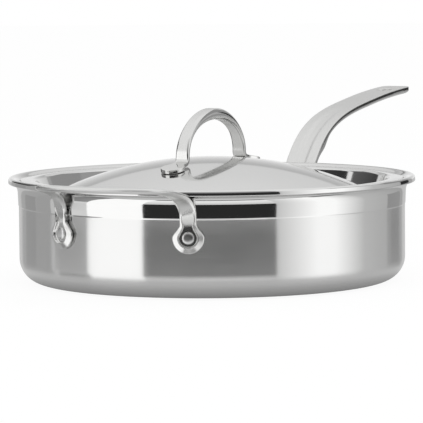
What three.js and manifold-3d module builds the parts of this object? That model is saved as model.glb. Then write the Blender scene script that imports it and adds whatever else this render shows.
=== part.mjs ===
// Saute pan with a recessed lid: a clad steel vessel with a flared pouring lip, a long
// riveted handle, a riveted helper loop and a lid that lifts off by its own arched strap.
// Millimetres, +Z up. The origin is the centre of the base's underside, +X runs out along
// the long handle and the helper loop stands opposite, on the -X side.

import * as THREE from 'three';
import { mergeVertices } from 'three/addons/utils/BufferGeometryUtils.js';
import Module from 'manifold-3d';

const { degToRad, lerp, smoothstep } = THREE.MathUtils;

// Vessel: one bonded sheet, with a polished band that steps out below the lip
const PAN_INNER_RADIUS = 140;
const PAN_WALL = 2.6;
const PAN_HEIGHT = 77.5;
const PAN_CORNER_RADIUS = 18;
const BAND_DEPTH = 21.3;
const BAND_STEP = 0.35;
const BAND_STEP_RISE = 1.2;
const BAND_FLARE = 0.35;

// Flared lip: its rolled edge, the curve under it and the curve that the lid sits on
const LIP_OVERHANG = 7.6;
const LIP_EDGE = 4.4;
const LIP_FILLET = 7;
const LIP_FLARE = 8;

// Lid: a spherical dome, a round-bottomed trough and a flat flange, pressed from one sheet
const LID_SHEET = 1;
const LID_OVERLAP = 1.6;
const LID_RISE = 13.5;
const LID_MARGIN = 20;
const DOME_RADIUS = 285;
const TROUGH_RADIUS = 4;
const TROUGH_LEAN = degToRad(70);
const FLANGE_CORNER = 3;

// Rivets: flush inside the pan, with a low domed head outside
const RIVET_DROP = 33.5;
const RIVET_SHANK_RADIUS = 3.2;
const RIVET_FLUSH_RADIUS = 5;
const RIVET_FLUSH_DEPTH = 1.1;
const RIVET_HEAD_RADIUS = 4.4;
const RIVET_HEAD_RISE = 1.5;

// Long handle: a round flange on the wall, then a steep root that eases into a level grip
const HANDLE_WIDTH = 25.2;
const HANDLE_EDGE = 2.4;
const HANDLE_KEEL = 4.2;
const HANDLE_LIP_CLEARANCE = 2.6;
const HANDLE_ROOT_ANGLE = degToRad(55);
const HANDLE_ROOT_PULL = 11;
const HANDLE_SWEEP_REACH = 122;
const HANDLE_SWEEP_RISE = 47.8;
const HANDLE_SWEEP_PULL = 43;
const HANDLE_GRIP_ANGLE = degToRad(7.4);
const HANDLE_GRIP_PULL = 60;
const HANDLE_REACH = 193;
const HANDLE_RISE = 54;
const HANDLE_TIP_CORNER = 7;
const HANDLE_FLANGE_RADIUS = 20;
const HANDLE_FLANGE_THICKNESS = 5.4;
const HANDLE_FLANGE_NECK = 30;
const CHANNEL_HALF_WIDTH = 2.2;
const CHANNEL_SOFTNESS = 4.4;
const CHANNEL_DEPTH = 0.9;
const CHANNEL_REACH = 84;
const FINGER_STOP_REACH = 16;
const FINGER_STOP_DEPTH = 9;
const FINGER_STOP_LENGTH = 8;
const FINGER_STOP_HALF_WIDTH = 11;
const HANG_HOLE_RADIUS = 6;
const HANG_HOLE_INSET = 28;
const HANDLE_RIVET_SPREAD = 9.5;
const HANDLE_RIVET_RISE = 6.5;
const HANDLE_RIVET_DROP = 9.5;
const SPOT_FACE_DEPTH = 1.2;

// Helper loop: two round pads on the wall, joined by a strap that swings out to a grip bar
const HELPER_SPREAD = degToRad(20.4);
const HELPER_THICKNESS = 4;
const HELPER_STRAP_WIDTH = 11.6;
const HELPER_PAD_RADIUS = 11.2;
const HELPER_NECK = 9.5;
const HELPER_REACH = 34;
const HELPER_BAR_RISE = 2;
const HELPER_BAR_PULL = 35;
const HELPER_ARM_RISE = 14;
const HELPER_ARM_PULL = 10;
const SHOULDER_REACH = 10;
const SHOULDER_SPREAD = 47.5;
const SHOULDER_DROP = 2.7;
const SHOULDER_TOE = degToRad(9);
const SHOULDER_PITCH = degToRad(10);
const SHOULDER_PULL = 14;
const CORNER_PULL = 20;
const HELPER_TURN = 34;
const DISH_RADIUS = 6.9;
const DISH_DEPTH = 2;

// Lid handle: a strap bent to an arch that thickens towards its top, with a round foot at each end
const STRAP_WIDTH = 10.4;
const FOOT_THICKNESS = 3;
const ARCH_THICKNESS = 8.2;
const ARCH_HALF_SPAN = 46;
const ARCH_HEIGHT = 36;
const FOOT_RADIUS = 9;
const FOOT_CENTRE = 61;
const FOOT_NECK = 9;
const FOOT_BEND = 4;
const LID_RIVET_SHANK_RADIUS = 2.6;
const LID_RIVET_HEAD_RADIUS = 4.4;
const LID_RIVET_HEAD_RISE = 1.2;

// Clearances
const SEAT_GAP = 0.3;
const LID_SEAT_GAP = 0.5;
const RIVET_CLEARANCE = 0.3;

// How far a blank reaches into the wall before it is cut to fit, how far a cutter reaches past
// the face that it opens, and the flat left at the end of a round pad
const FLANGE_BITE = 3;
const CUT_REACH = 9;
const END_HALF_WIDTH = 1;

// Facets
const RING_STEPS = 60;
const SMALL_RING_STEPS = 14;
const ARC_STEPS = 4;
const DOME_STEPS = 6;
const SECTION_STEPS = 12;
const HANDLE_STATIONS = 64;
const HELPER_STATIONS = 72;
const ARCH_STATIONS = 44;
const WELD = 1e-4;

// Squareness of the strap and handle sections: 2 is an ellipse, higher is closer to a box
const ROUND_SECTION = 2.2;
const STRAP_SECTION = 3.6;
const FLAT_SECTION = 6;

// Shared levels and radii
const PAN_RADIUS = PAN_INNER_RADIUS + PAN_WALL;
const BAND_TOP_RADIUS = PAN_RADIUS + BAND_STEP + BAND_FLARE;
const LIP_RADIUS = PAN_RADIUS + LIP_OVERHANG;
const LIP_CREST_RADIUS = LIP_RADIUS - LIP_EDGE / 2;
const LIP_UNDERSIDE = PAN_HEIGHT - LIP_EDGE;
const BAND_BOTTOM = PAN_HEIGHT - BAND_DEPTH;
const RIVET_HEIGHT = PAN_HEIGHT - RIVET_DROP;
const HELPER_BAR_HEIGHT = PAN_HEIGHT + HELPER_BAR_RISE;
const LID_RADIUS = PAN_INNER_RADIUS + LID_OVERLAP;
const DOME_CROWN = PAN_HEIGHT + LID_RISE;
const DOME_CENTRE_HEIGHT = DOME_CROWN - DOME_RADIUS;
const QUARTER = Math.PI / 2;

const wasm = await Module();
wasm.setup();

// A closed geometry as a solid that can be cut and joined
function solid(geometry) {
  geometry.deleteAttribute('normal');
  geometry.deleteAttribute('uv');
  const welded = mergeVertices(geometry, WELD);
  const corners = welded.index.array;
  const triangles = [];
  for (let i = 0; i < corners.length; i += 3) {
    const [a, b, c] = [corners[i], corners[i + 1], corners[i + 2]];
    if (a !== b && b !== c && c !== a) {
      triangles.push(a, b, c);
    }
  }
  return new wasm.Manifold(new wasm.Mesh({
    numProp: 3,
    vertProperties: new Float32Array(welded.attributes.position.array),
    triVerts: new Uint32Array(triangles),
  }));
}

// A named mesh made from a solid
function piece(name, body, material) {
  const { vertProperties, triVerts } = body.getMesh();
  const geometry = new THREE.BufferGeometry();
  geometry.setAttribute('position', new THREE.BufferAttribute(vertProperties, 3));
  geometry.setIndex(new THREE.BufferAttribute(triVerts, 1));
  geometry.computeVertexNormals();
  const mesh = new THREE.Mesh(geometry, material);
  mesh.name = name;
  return mesh;
}

function steel(finish) {
  return new THREE.MeshStandardMaterial({ ...finish, metalness: 1 });
}

// Points on part of an ellipse, from one angle to another, in the (radius, height) plane
function arc(centreX, centreY, radiusX, radiusY, from, to, steps = ARC_STEPS) {
  return new THREE.EllipseCurve(centreX, centreY, radiusX, radiusY, from, to, to < from)
    .getPoints(steps);
}

// A solid of revolution about Z, from a profile that runs up its outer side
function turned(profile, steps = RING_STEPS) {
  const points = profile.map((p) => (p.isVector2 ? p : new THREE.Vector2(...p)));
  return new THREE.LatheGeometry(points, steps).rotateX(QUARTER);
}

// A round rod along Z
function rod(radius, length) {
  return new THREE.CylinderGeometry(radius, radius, length, SMALL_RING_STEPS).rotateX(QUARTER);
}

// A closed skin over rings of points, with a fan over each end
function loft(rings) {
  const count = rings[0].length;
  const positions = rings.flat().flatMap((p) => [p.x, p.y, p.z]);
  const index = [];
  for (let i = 0; i + 1 < rings.length; i += 1) {
    for (let j = 0; j < count; j += 1) {
      const a = i * count + j;
      const b = i * count + ((j + 1) % count);
      index.push(a, b, a + count, b, b + count, a + count);
    }
  }
  const last = (rings.length - 1) * count;
  for (let j = 1; j + 1 < count; j += 1) {
    index.push(0, j + 1, j, last, last + j, last + j + 1);
  }
  const geometry = new THREE.BufferGeometry();
  geometry.setAttribute('position', new THREE.Float32BufferAttribute(positions, 3));
  geometry.setIndex(index);
  return geometry;
}

// A point of a rounded section: x across, y along the face's normal
function roundedSection(angle, halfWidth, halfDepth, squareness) {
  const [c, s] = [Math.cos(angle), Math.sin(angle)];
  const power = 2 / squareness;
  return [
    halfWidth * Math.sign(c) * Math.abs(c) ** power,
    halfDepth * Math.sign(s) * Math.abs(s) ** power,
  ];
}

// Half width of a strap near its round end: distance is measured from the pad's centre,
// negative towards the free end, and the pad narrows to the strap over the neck
function paddle(distance, padRadius, strapHalfWidth, neck) {
  if (distance < 0) {
    return Math.sqrt(Math.max(padRadius ** 2 - distance ** 2, 0));
  }
  const ease = smoothstep(distance, 0, neck);
  return padRadius + (strapHalfWidth - padRadius) * ease;
}

function sectionAngles() {
  const step = 2 * Math.PI / SECTION_STEPS;
  return Array.from({ length: SECTION_STEPS }, (_, i) => i * step + step / 2);
}

// The outside of the vessel, grown by a clearance, from the base to the top of the lip
function vesselOutside(clearance) {
  const wall = PAN_RADIUS + clearance;
  const cornerCentre = PAN_RADIUS - PAN_CORNER_RADIUS;
  const filletHeight = LIP_UNDERSIDE - LIP_FILLET;
  const filletRadius = LIP_CREST_RADIUS - BAND_TOP_RADIUS - clearance;
  return [
    ...arc(cornerCentre, PAN_CORNER_RADIUS, PAN_CORNER_RADIUS + clearance,
      PAN_CORNER_RADIUS + clearance, -QUARTER, 0),
    [wall, BAND_BOTTOM],
    [wall + BAND_STEP, BAND_BOTTOM + BAND_STEP_RISE],
    ...arc(LIP_CREST_RADIUS, filletHeight, filletRadius, LIP_FILLET - clearance, Math.PI, QUARTER),
    ...arc(LIP_CREST_RADIUS, PAN_HEIGHT - LIP_EDGE / 2, LIP_EDGE / 2 + clearance,
      LIP_EDGE / 2 + clearance, -QUARTER, QUARTER).slice(1),
  ];
}

function vesselInside() {
  const corner = PAN_CORNER_RADIUS - PAN_WALL;
  return [
    ...arc(LIP_CREST_RADIUS, PAN_HEIGHT - LIP_FLARE, LIP_CREST_RADIUS - PAN_INNER_RADIUS,
      LIP_FLARE, QUARTER, Math.PI).slice(1),
    ...arc(PAN_INNER_RADIUS - corner, PAN_WALL + corner, corner, corner, 0, -QUARTER),
  ];
}

// The vessel's full outline as one block, for cutting the handles to fit against it
function vesselBlock(clearance) {
  const outside = vesselOutside(clearance);
  return solid(turned([[0, -clearance], ...outside, [0, PAN_HEIGHT + clearance]]));
}

// Places on the vessel's wall: local +Z points straight out from the pan's axis
function onWall(angle, height) {
  return new THREE.Matrix4()
    .makeTranslation(0, 0, height)
    .multiply(new THREE.Matrix4().makeRotationZ(angle))
    .multiply(new THREE.Matrix4().makeRotationY(QUARTER));
}

// A wall rivet along its own axis: flush inner end, shank, and a low domed head on its seat
function wallRivet(seat) {
  return turned([
    [0, PAN_INNER_RADIUS],
    [RIVET_FLUSH_RADIUS, PAN_INNER_RADIUS],
    [RIVET_SHANK_RADIUS, PAN_INNER_RADIUS + RIVET_FLUSH_DEPTH],
    [RIVET_SHANK_RADIUS, seat],
    ...arc(0, seat, RIVET_HEAD_RADIUS, RIVET_HEAD_RISE, 0, QUARTER),
  ], SMALL_RING_STEPS);
}

// The hole for a wall rivet, with the round pocket that its head lies in
function wallRivetHole(seat, pocketRadius) {
  const flush = RIVET_FLUSH_RADIUS + RIVET_CLEARANCE;
  const shank = RIVET_SHANK_RADIUS + RIVET_CLEARANCE;
  const floor = seat - RIVET_CLEARANCE;
  const mouth = seat + CUT_REACH;
  return turned([
    [0, PAN_INNER_RADIUS - PAN_WALL],
    [flush, PAN_INNER_RADIUS - PAN_WALL],
    [flush, PAN_INNER_RADIUS],
    [shank, PAN_INNER_RADIUS + RIVET_FLUSH_DEPTH],
    [shank, floor],
    [pocketRadius, floor],
    [pocketRadius, mouth],
    [0, mouth],
  ], SMALL_RING_STEPS);
}

// Where the rivets go: the angle round the pan, the height, and the seat of each head
const HANDLE_RIVET_ANGLE = Math.asin(HANDLE_RIVET_SPREAD / PAN_RADIUS);
const HANDLE_FIT = {
  seat: PAN_RADIUS + SEAT_GAP + HANDLE_FLANGE_THICKNESS - SPOT_FACE_DEPTH + RIVET_CLEARANCE,
  pocket: RIVET_HEAD_RADIUS + RIVET_CLEARANCE,
};
const HELPER_FIT = {
  seat: PAN_RADIUS + SEAT_GAP + HELPER_THICKNESS - DISH_DEPTH + RIVET_CLEARANCE,
  pocket: DISH_RADIUS,
};
const RIVETS = [
  ['long_handle_rivet_left', HANDLE_RIVET_ANGLE, HANDLE_RIVET_RISE, HANDLE_FIT],
  ['long_handle_rivet_right', -HANDLE_RIVET_ANGLE, HANDLE_RIVET_RISE, HANDLE_FIT],
  ['long_handle_rivet_lower', 0, -HANDLE_RIVET_DROP, HANDLE_FIT],
  ['helper_rivet_left', Math.PI - HELPER_SPREAD, 0, HELPER_FIT],
  ['helper_rivet_right', Math.PI + HELPER_SPREAD, 0, HELPER_FIT],
].map(([name, angle, rise, fit]) => ({ name, place: onWall(angle, RIVET_HEIGHT + rise), ...fit }));

function cutRivetHoles(body) {
  return RIVETS.reduce((rest, rivet) => {
    const hole = wallRivetHole(rivet.seat, rivet.pocket).applyMatrix4(rivet.place);
    return rest.subtract(solid(hole));
  }, body);
}

function panBody() {
  const profile = [[0, 0], ...vesselOutside(0), ...vesselInside(), [0, PAN_WALL]];
  return cutRivetHoles(solid(turned(profile)));
}

// Distances along a curve, closer together near both ends, where the pads round off
function easedStations(count) {
  return Array.from({ length: count + 1 }, (_, i) => (1 - Math.cos(Math.PI * i / count)) / 2);
}

// One ring of a loft: its point, its direction, the normal of its face, and its section
function ring(point, along, face, section) {
  const across = new THREE.Vector3().crossVectors(face, along).normalize();
  return sectionAngles().map((angle) => {
    const [x, y] = section(angle);
    return point.clone().addScaledVector(across, x).addScaledVector(face, y);
  });
}

// One ring of a strap
function strapRing({ point, along, face }, halfWidth, thickness) {
  const half = Math.max(halfWidth, END_HALF_WIDTH);
  return ring(point, along, face, (angle) => (
    roundedSection(angle, half, thickness / 2, STRAP_SECTION)
  ));
}

// A curve drawn in the XZ plane: its point, direction and left-hand normal at a share of its length
function flatStation(path, share) {
  const p = path.getPoint(share);
  const t = path.getTangent(share);
  return {
    point: new THREE.Vector3(p.x, 0, p.y),
    along: new THREE.Vector3(t.x, 0, t.y),
    left: new THREE.Vector3(-t.y, 0, t.x),
  };
}

// The long handle's upper face in the XZ plane: up the wall, round the lip, out to the tip
function handleSpine() {
  const flangeTop = RIVET_HEIGHT + HANDLE_FLANGE_RADIUS / 2;
  const lip = [LIP_RADIUS + HANDLE_LIP_CLEARANCE, PAN_HEIGHT - LIP_EDGE / 2];
  const grip = [lip[0] + HANDLE_SWEEP_REACH, lip[1] + HANDLE_SWEEP_RISE];
  const tip = [lip[0] + HANDLE_REACH, lip[1] + HANDLE_RISE];
  const root = [Math.cos(HANDLE_ROOT_ANGLE), Math.sin(HANDLE_ROOT_ANGLE)];
  const level = [Math.cos(HANDLE_GRIP_ANGLE), Math.sin(HANDLE_GRIP_ANGLE)];
  const from = (point, way, length) => [point[0] + way[0] * length, point[1] + way[1] * length];
  const path = new THREE.Path();
  path.moveTo(PAN_RADIUS, RIVET_HEIGHT - HANDLE_FLANGE_RADIUS);
  path.lineTo(PAN_RADIUS, flangeTop);
  path.bezierCurveTo(
    PAN_RADIUS,
    flangeTop + HANDLE_ROOT_PULL,
    ...from(lip, root, -HANDLE_ROOT_PULL),
    ...lip,
  );
  path.bezierCurveTo(
    ...from(lip, root, HANDLE_SWEEP_PULL),
    ...from(grip, level, -HANDLE_GRIP_PULL),
    ...grip,
  );
  path.quadraticCurveTo(...from(grip, level, (HANDLE_REACH - HANDLE_SWEEP_REACH) / 2), ...tip);
  return path;
}

// Half width of the long handle: the flange at its foot, the grip, and the rounded tip
function handleHalfWidth(distance, length) {
  const half = HANDLE_WIDTH / 2;
  const fromTip = length - distance;
  if (fromTip < HANDLE_TIP_CORNER) {
    const inset = HANDLE_TIP_CORNER - fromTip;
    return half - HANDLE_TIP_CORNER + Math.sqrt(HANDLE_TIP_CORNER ** 2 - inset ** 2);
  }
  return paddle(distance - HANDLE_FLANGE_RADIUS, HANDLE_FLANGE_RADIUS, half, HANDLE_FLANGE_NECK);
}

// Section of the long handle: a flat upper face with a soft channel, thin edges, a round keel
function handleSection(angle, distance, reach, halfWidth) {
  const flange = 2 * HANDLE_FLANGE_RADIUS;
  const grip = smoothstep(distance, flange / 2, flange + HANDLE_FLANGE_NECK);
  if (Math.sin(angle) > 0) {
    const bite = FLANGE_BITE * (1 - grip);
    const [x, y] = roundedSection(angle, halfWidth, HANDLE_EDGE + bite, FLAT_SECTION);
    const fadeIn = smoothstep(reach, 0, CHANNEL_SOFTNESS);
    const fadeOut = 1 - smoothstep(reach, CHANNEL_REACH / 2, CHANNEL_REACH);
    const side = smoothstep(Math.abs(x), CHANNEL_HALF_WIDTH, CHANNEL_HALF_WIDTH + CHANNEL_SOFTNESS);
    return [x, y - HANDLE_EDGE - CHANNEL_DEPTH * (1 - side) * fadeIn * fadeOut];
  }
  const keel = lerp(HANDLE_FLANGE_THICKNESS - HANDLE_EDGE, HANDLE_KEEL, grip);
  const squareness = lerp(FLAT_SECTION, ROUND_SECTION, grip);
  const [x, y] = roundedSection(angle, halfWidth, keel, squareness);
  const ahead = (reach - FINGER_STOP_REACH) / FINGER_STOP_LENGTH;
  const aside = x / FINGER_STOP_HALF_WIDTH;
  const stop = FINGER_STOP_DEPTH * Math.exp(-(ahead ** 2) - aside ** 2);
  return [x, y - HANDLE_EDGE - stop];
}

function longHandle() {
  const path = handleSpine();
  const length = path.getLength();
  const rings = easedStations(HANDLE_STATIONS).map((share) => {
    const { point, along, left } = flatStation(path, share);
    const distance = share * length;
    const reach = point.x - LIP_RADIUS - HANDLE_LIP_CLEARANCE;
    const halfWidth = Math.max(handleHalfWidth(distance, length), END_HALF_WIDTH);
    return ring(point, along, left, (angle) => handleSection(angle, distance, reach, halfWidth));
  });
  const tip = LIP_RADIUS + HANDLE_LIP_CLEARANCE + HANDLE_REACH;
  const hole = rod(HANG_HOLE_RADIUS, HANDLE_WIDTH)
    .translate(tip - HANG_HOLE_INSET, 0, PAN_HEIGHT - LIP_EDGE / 2 + HANDLE_RISE);
  const blank = solid(loft(rings)).subtract(vesselBlock(SEAT_GAP)).subtract(solid(hole));
  return cutRivetHoles(blank);
}

// The helper loop's middle line, from pad to pad: up the wall, out over a shoulder, along the bar
function helperPath() {
  const middle = PAN_RADIUS + SEAT_GAP + HELPER_THICKNESS / 2;
  const [out, side] = [middle * Math.cos(HELPER_SPREAD), middle * Math.sin(HELPER_SPREAD)];
  const armTop = RIVET_HEIGHT + HELPER_ARM_RISE;
  const bar = LIP_RADIUS + HELPER_REACH;
  const level = Math.cos(SHOULDER_PITCH);
  const heading = new THREE.Vector3(
    -level * Math.cos(SHOULDER_TOE),
    -level * Math.sin(SHOULDER_TOE),
    Math.sin(SHOULDER_PITCH),
  );
  const shoulder = new THREE.Vector3(
    -LIP_RADIUS - SHOULDER_REACH,
    SHOULDER_SPREAD,
    HELPER_BAR_HEIGHT - SHOULDER_DROP,
  );
  const runs = [
    [
      new THREE.Vector3(-out, side, RIVET_HEIGHT - HELPER_PAD_RADIUS),
      new THREE.Vector3(-out, side, armTop),
    ],
    [
      new THREE.Vector3(-out, side, armTop),
      new THREE.Vector3(-out, side, armTop + HELPER_ARM_PULL),
      shoulder.clone().addScaledVector(heading, -SHOULDER_PULL),
      shoulder,
    ],
    [
      shoulder,
      shoulder.clone().addScaledVector(heading, CORNER_PULL),
      new THREE.Vector3(-bar, HELPER_BAR_PULL, HELPER_BAR_HEIGHT),
      new THREE.Vector3(-bar, 0, HELPER_BAR_HEIGHT),
    ],
  ];
  const mirror = new THREE.Vector3(1, -1, 1);
  const mirrored = runs.map((run) => run.map((p) => p.clone().multiply(mirror)).reverse()).reverse();
  const path = new THREE.CurvePath();
  for (const run of [...runs, ...mirrored]) {
    const Curve = run.length === 2 ? THREE.LineCurve3 : THREE.CubicBezierCurve3;
    path.add(new Curve(...run));
  }
  return path;
}

function helperHandle() {
  const path = helperPath();
  const length = path.getLength();
  const armStart = HELPER_PAD_RADIUS + HELPER_ARM_RISE;
  const [out, side] = [Math.cos(HELPER_SPREAD), Math.sin(HELPER_SPREAD)];
  const down = new THREE.Vector3(0, 0, -1);
  const rings = easedStations(HELPER_STATIONS).map((share) => {
    const distance = Math.min(share, 1 - share) * length;
    const point = path.getPoint(share);
    const along = path.getTangent(share);
    const turn = smoothstep(distance, armStart, armStart + HELPER_TURN);
    const face = new THREE.Vector3(-out, Math.sign(point.y) * side, 0).lerp(down, turn);
    face.addScaledVector(along, -face.dot(along)).normalize();
    const half = HELPER_STRAP_WIDTH / 2;
    const width = paddle(distance - HELPER_PAD_RADIUS, HELPER_PAD_RADIUS, half, HELPER_NECK);
    return strapRing({ point, along, face }, width, HELPER_THICKNESS);
  });
  return cutRivetHoles(solid(loft(rings)).subtract(vesselBlock(SEAT_GAP)));
}

// One face of the lid's sheet, from the axis to the rim, set below the upper face by a depth
function lidFace(depth) {
  const flangeTop = lidFlangeTop();
  const edge = LID_RADIUS - LID_MARGIN;
  const slope = Math.asin(edge / DOME_RADIUS);
  const dome = DOME_RADIUS - depth;
  const trough = TROUGH_RADIUS + depth;
  const corner = FLANGE_CORNER - depth;
  const troughCentre = new THREE.Vector2(
    (DOME_RADIUS + TROUGH_RADIUS) * Math.sin(slope),
    DOME_CENTRE_HEIGHT + (DOME_RADIUS + TROUGH_RADIUS) * Math.cos(slope),
  );
  const lean = new THREE.Vector2(Math.cos(TROUGH_LEAN + QUARTER), Math.sin(TROUGH_LEAN + QUARTER));
  const cornerHeight = flangeTop - FLANGE_CORNER;
  const cornerReach = troughCentre.dot(lean) - TROUGH_RADIUS - FLANGE_CORNER;
  const cornerCentre = (cornerReach - cornerHeight * lean.y) / lean.x;
  return [
    ...arc(0, DOME_CENTRE_HEIGHT, dome, dome, QUARTER, QUARTER - slope, DOME_STEPS),
    ...arc(troughCentre.x, troughCentre.y, trough, trough, -QUARTER - slope,
      TROUGH_LEAN - QUARTER).slice(1),
    ...arc(cornerCentre, cornerHeight, corner, corner, TROUGH_LEAN + QUARTER, QUARTER),
    new THREE.Vector2(LID_RADIUS, flangeTop - depth),
  ];
}

// The flange's underside rests on the lip's inner curve, with a small gap
function lidFlangeTop() {
  const across = (LIP_CREST_RADIUS - LID_RADIUS) / (LIP_CREST_RADIUS - PAN_INNER_RADIUS);
  const seat = PAN_HEIGHT - LIP_FLARE + LIP_FLARE * Math.sqrt(1 - across ** 2);
  return seat + LID_SEAT_GAP + LID_SHEET;
}

// Places on the dome where the lid handle's feet sit: local +Z points out from the dome's centre
function onDome(side) {
  return new THREE.Matrix4()
    .makeTranslation(0, 0, DOME_CENTRE_HEIGHT)
    .multiply(new THREE.Matrix4().makeRotationY(side * Math.asin(FOOT_CENTRE / DOME_RADIUS)));
}

const LID_RIVETS = [
  { name: 'lid_handle_rivet_front', side: -1 },
  { name: 'lid_handle_rivet_back', side: 1 },
];

function lidRivet() {
  const underside = DOME_RADIUS - LID_SHEET - RIVET_CLEARANCE;
  const top = DOME_RADIUS + SEAT_GAP + FOOT_THICKNESS - RIVET_CLEARANCE;
  return turned([
    ...arc(0, underside, LID_RIVET_HEAD_RADIUS, LID_RIVET_HEAD_RISE, -QUARTER, 0),
    [LID_RIVET_SHANK_RADIUS, underside],
    [LID_RIVET_SHANK_RADIUS, top],
    [0, top],
  ], SMALL_RING_STEPS);
}

function cutLidRivetHoles(body) {
  const radius = LID_RIVET_SHANK_RADIUS + RIVET_CLEARANCE;
  const reach = 2 * (LID_SHEET + FOOT_THICKNESS);
  return LID_RIVETS.reduce((rest, rivet) => {
    const hole = rod(radius, reach).translate(0, 0, DOME_RADIUS).applyMatrix4(onDome(rivet.side));
    return rest.subtract(solid(hole));
  }, body);
}

function lid() {
  const upper = lidFace(0).reverse();
  return cutLidRivetHoles(solid(turned([...lidFace(LID_SHEET), ...upper])));
}

// The lid handle's middle line in the XZ plane: foot, bend, arch, and the same in reverse
function archPath() {
  const footRadius = DOME_RADIUS + SEAT_GAP + FOOT_THICKNESS / 2;
  const end = Math.acos((FOOT_CENTRE + FOOT_RADIUS) / footRadius);
  const bend = Math.acos((ARCH_HALF_SPAN + FOOT_BEND) / footRadius);
  const corner = DOME_CENTRE_HEIGHT + Math.sqrt(footRadius ** 2 - ARCH_HALF_SPAN ** 2);
  const spring = corner + FOOT_BEND;
  const rise = DOME_CROWN + ARCH_HEIGHT - ARCH_THICKNESS / 2 - spring;
  const path = new THREE.Path();
  path.absarc(0, DOME_CENTRE_HEIGHT, footRadius, end, bend, false);
  path.quadraticCurveTo(ARCH_HALF_SPAN, corner, ARCH_HALF_SPAN, spring);
  path.absellipse(0, spring, ARCH_HALF_SPAN, rise, 0, Math.PI, false, 0);
  path.quadraticCurveTo(
    -ARCH_HALF_SPAN,
    corner,
    -ARCH_HALF_SPAN - FOOT_BEND,
    DOME_CENTRE_HEIGHT + footRadius * Math.sin(bend),
  );
  path.absarc(0, DOME_CENTRE_HEIGHT, footRadius, Math.PI - bend, Math.PI - end, false);
  return path;
}

function lidHandle() {
  const path = archPath();
  const length = path.getLength();
  const legStart = 2 * FOOT_RADIUS + FOOT_BEND;
  const rings = easedStations(ARCH_STATIONS).map((share) => {
    const { point, along, left } = flatStation(path, share);
    const distance = Math.min(share, 1 - share) * length;
    const width = paddle(distance - FOOT_RADIUS, FOOT_RADIUS, STRAP_WIDTH / 2, FOOT_NECK);
    const grip = smoothstep(distance, legStart, length / 2);
    const thickness = lerp(FOOT_THICKNESS, ARCH_THICKNESS, grip);
    return strapRing({ point, along, face: left.negate() }, width, thickness);
  });
  return cutLidRivetHoles(solid(loft(rings)));
}

const BRUSHED = { color: 0xb9b9b8, roughness: 0.32 };
const SATIN = { color: 0xc4c4c2, roughness: 0.26 };
const POLISHED = { color: 0xcfcfce, roughness: 0.18 };

const pan = new THREE.Group();
pan.add(piece('pan_body', panBody(), steel(BRUSHED)));
pan.add(piece('long_handle', longHandle(), steel(SATIN)));
pan.add(piece('helper_handle', helperHandle(), steel(SATIN)));
for (const rivet of RIVETS) {
  const mesh = piece(rivet.name, solid(wallRivet(rivet.seat)), steel(POLISHED));
  mesh.applyMatrix4(rivet.place);
  pan.add(mesh);
}

const cover = new THREE.Group();
cover.add(piece('lid', lid(), steel(POLISHED)));
cover.add(piece('lid_handle', lidHandle(), steel(POLISHED)));
for (const rivet of LID_RIVETS) {
  const mesh = piece(rivet.name, solid(lidRivet()), steel(POLISHED));
  mesh.applyMatrix4(onDome(rivet.side));
  cover.add(mesh);
}

const sautePan = new THREE.Group();
sautePan.add(pan, cover);

export default sautePan;
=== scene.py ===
import math
from collections import namedtuple

import bmesh
import bpy
import numpy as np
from mathutils import Matrix, Vector


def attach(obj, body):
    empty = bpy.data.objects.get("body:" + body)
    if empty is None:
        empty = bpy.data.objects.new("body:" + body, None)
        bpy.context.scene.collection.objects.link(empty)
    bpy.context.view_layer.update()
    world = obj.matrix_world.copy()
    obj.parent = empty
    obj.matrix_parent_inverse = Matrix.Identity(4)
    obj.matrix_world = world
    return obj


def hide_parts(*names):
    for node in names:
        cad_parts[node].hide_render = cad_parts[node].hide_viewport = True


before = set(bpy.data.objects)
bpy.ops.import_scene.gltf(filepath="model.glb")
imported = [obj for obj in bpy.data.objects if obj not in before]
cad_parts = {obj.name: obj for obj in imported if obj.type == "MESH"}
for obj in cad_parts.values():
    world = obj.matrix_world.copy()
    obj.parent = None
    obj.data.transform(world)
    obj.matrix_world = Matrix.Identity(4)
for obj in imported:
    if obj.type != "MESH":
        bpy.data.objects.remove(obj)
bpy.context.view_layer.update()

# A saute pan with a recessed lid. +X runs out along the long handle and +Z is up. The main sizes are
# those of the solids, in millimetres, and a finished mesh is scaled to metres; the camera and the stage
# are in metres. A pair of lengths is where a blend starts and where it ends.
MM = 0.001
TINY = 1e-6
WELD = 1e-4
QUARTER = math.pi / 2
SEAT_GAP = 0.3
RIVET_CLEARANCE = 0.3

# Vessel: one bonded sheet, with a polished band that steps out below the lip
PAN_INNER = 140.0
PAN_WALL = 2.6
PAN_OUTER = PAN_INNER + PAN_WALL
PAN_HEIGHT = 77.5
PAN_CORNER = 18.0
BAND_DEPTH = 21.3
BAND_STEP = 0.35
BAND_STEP_RISE = 1.2
BAND_FLARE = 0.35

# Extra rings, which only divide the straight stretches of the base and of the wall's two sides
BASE_RINGS = [60.0, 110.0]
WALL_RINGS = [30.0, 44.0]
INNER_RINGS = [54.0, 36.0]

# Flared lip: its rolled edge, the curve under it and the curve that the lid sits on
LIP_OVERHANG = 7.6
LIP_RADIUS = PAN_OUTER + LIP_OVERHANG
LIP_EDGE = 4.4
LIP_CREST = LIP_RADIUS - LIP_EDGE / 2
LIP_CREST_FLAT = 0.1
LIP_FILLET = 7.0
LIP_FLARE = 8.0
LIP_TOP_ROUND = 2.0
LIP_LOW_ROUND = 0.8
LIP_LEAN = math.radians(7)

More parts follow.
